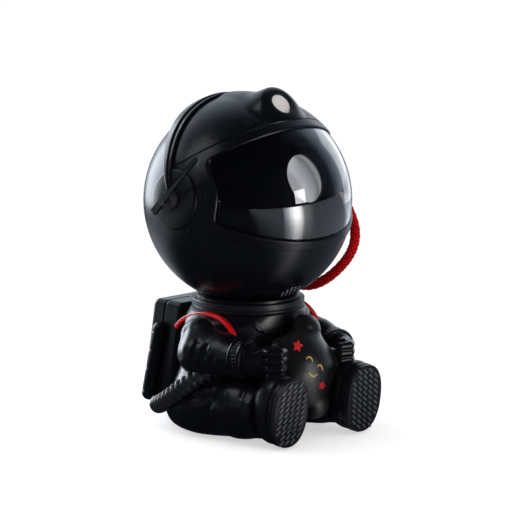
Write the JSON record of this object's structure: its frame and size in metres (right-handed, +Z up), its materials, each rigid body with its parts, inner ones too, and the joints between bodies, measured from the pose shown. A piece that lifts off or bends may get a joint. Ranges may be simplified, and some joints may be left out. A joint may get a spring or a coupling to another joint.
{
  "type": "star projector lamp",
  "caption": "Seated black spaceman star projector with a turning, tilting round helmet that holds the lamp, lens and laser, a backpack, a star on its lap and a swinging antenna.",
  "frame": {"origin": "on the ground under the neck axis, on the face of the rubber pad", "axes": "+Z up along the neck axis, the figure faces -Y, +X is the figure's left"},
  "size_m": [0.1581, 0.145, 0.2266],
  "materials": {
    "black_plastic": "satin moulded black",
    "black_gloss": "polished black",
    "dark_interior": "matt black",
    "smoked_visor": "smoked clear",
    "clear_lens": "polished clear",
    "milky_lens": "milky",
    "nebula_glass": "rippled tinted",
    "red_plastic": "gloss red",
    "red_braid": "woven red",
    "steel": "plated",
    "aluminium": "machined",
    "iron": "cast",
    "circuit_board": "solder mask",
    "white_nylon": "natural",
    "rubber": "matt"
  },
  "bodies": {
    "figure": {"body_front_shell": "black_plastic", "body_rear_shell": "black_plastic", "arm_right": "black_plastic", "arm_left": "black_plastic", "star_cushion": "black_plastic", "boot_right": "black_plastic", "boot_left": "black_plastic", "sole_right": "black_plastic", "sole_left": "black_plastic", "collar_ring": "black_plastic", "magnet_holder": "dark_interior", "neck_magnet": "steel", "backpack_front_shell": "black_plastic", "backpack_rear_shell": "black_plastic", "tank_right": "black_plastic", "tank_left": "black_plastic", "waist_hose_right": "black_plastic", "waist_hose_left": "black_plastic", "shoulder_strap_right": "red_plastic", "shoulder_strap_left": "red_plastic", "base_plate": "black_plastic", "counterweight": "iron", "rubber_pad": "rubber", "base_screws": "steel"},
    "head": {"helmet_front_shell": "black_plastic", "helmet_rear_shell": "black_plastic", "helmet_hoop": "black_plastic", "visor_surround": "black_plastic", "ear_disc_right": "black_plastic", "ear_disc_left": "black_plastic", "antenna_pivot": "black_plastic", "hose_fitting_top": "black_plastic", "hose_fitting_bottom": "black_plastic", "face_panel": "dark_interior", "lens_barrel": "dark_interior", "optics_bracket": "dark_interior", "visor": "smoked_visor", "projection_lens": "clear_lens", "condenser_lens": "clear_lens", "forehead_lens": "milky_lens", "braided_hose": "red_braid", "helmet_screws": "steel", "head_steel_plate": "steel", "usb_port": "steel", "gear_motor": "steel", "speaker": "steel", "heat_sink": "aluminium", "laser_module": "aluminium", "led_board": "circuit_board", "button_board": "circuit_board", "main_board": "circuit_board", "tact_switches": "circuit_board"},
    "neck_seat": {"seat_ring": "black_plastic"},
    "nebula_disc": {"nebula_disc": "nebula_glass"},
    "pinion": {"motor_pinion": "white_nylon"},
    "antenna": {"antenna_bar": "black_plastic"},
    "button_laser": {"button_laser": "black_gloss"},
    "button_power": {"button_power": "black_gloss"},
    "button_nebula": {"button_nebula": "black_gloss"}
  },
  "joints": [
    {"name": "head_turn", "type": "hinge", "parent": "figure", "child": "neck_seat", "pos_m": [0, 0, 0.0865], "axis": [0, 0, 1], "continuous": true},
    {"name": "head_tilt", "type": "hinge", "parent": "neck_seat", "child": "head", "pos_m": [0, 0, 0.15], "axis": [1, 0, 0], "range_deg": [-20, 15]},
    {"name": "antenna_swing", "type": "hinge", "parent": "head", "child": "antenna", "pos_m": [-0.0759, 0, 0.158], "axis": [1, 0, 0], "range_deg": [-90, 45]},
    {"name": "nebula_spin", "type": "hinge", "parent": "head", "child": "nebula_disc", "pos_m": [0, -0.01121, 0.16823], "axis": [0, -0.9336, 0.3584], "continuous": true},
    {"name": "pinion_spin", "type": "hinge", "parent": "head", "child": "pinion", "pos_m": [0.0256, -0.01121, 0.16823], "axis": [0, -0.9336, 0.3584], "continuous": true},
    {"name": "button_laser_press", "type": "slide", "parent": "head", "child": "button_laser", "axis": [0, -0.9397, 0.342], "range_m": [0, 0.0008], "stiffness_N_per_m": 1500, "springref_m": -0.0004},
    {"name": "button_power_press", "type": "slide", "parent": "head", "child": "button_power", "axis": [0, -0.9397, 0.342], "range_m": [0, 0.0008], "stiffness_N_per_m": 1500, "springref_m": -0.0004},
    {"name": "button_nebula_press", "type": "slide", "parent": "head", "child": "button_nebula", "axis": [0, -0.9397, 0.342], "range_m": [0, 0.0008], "stiffness_N_per_m": 1500, "springref_m": -0.0004}
  ],
  "couplings": [
    {"joint": "pinion_spin", "follows": "nebula_spin", "ratio": -4.3333}
  ]
}
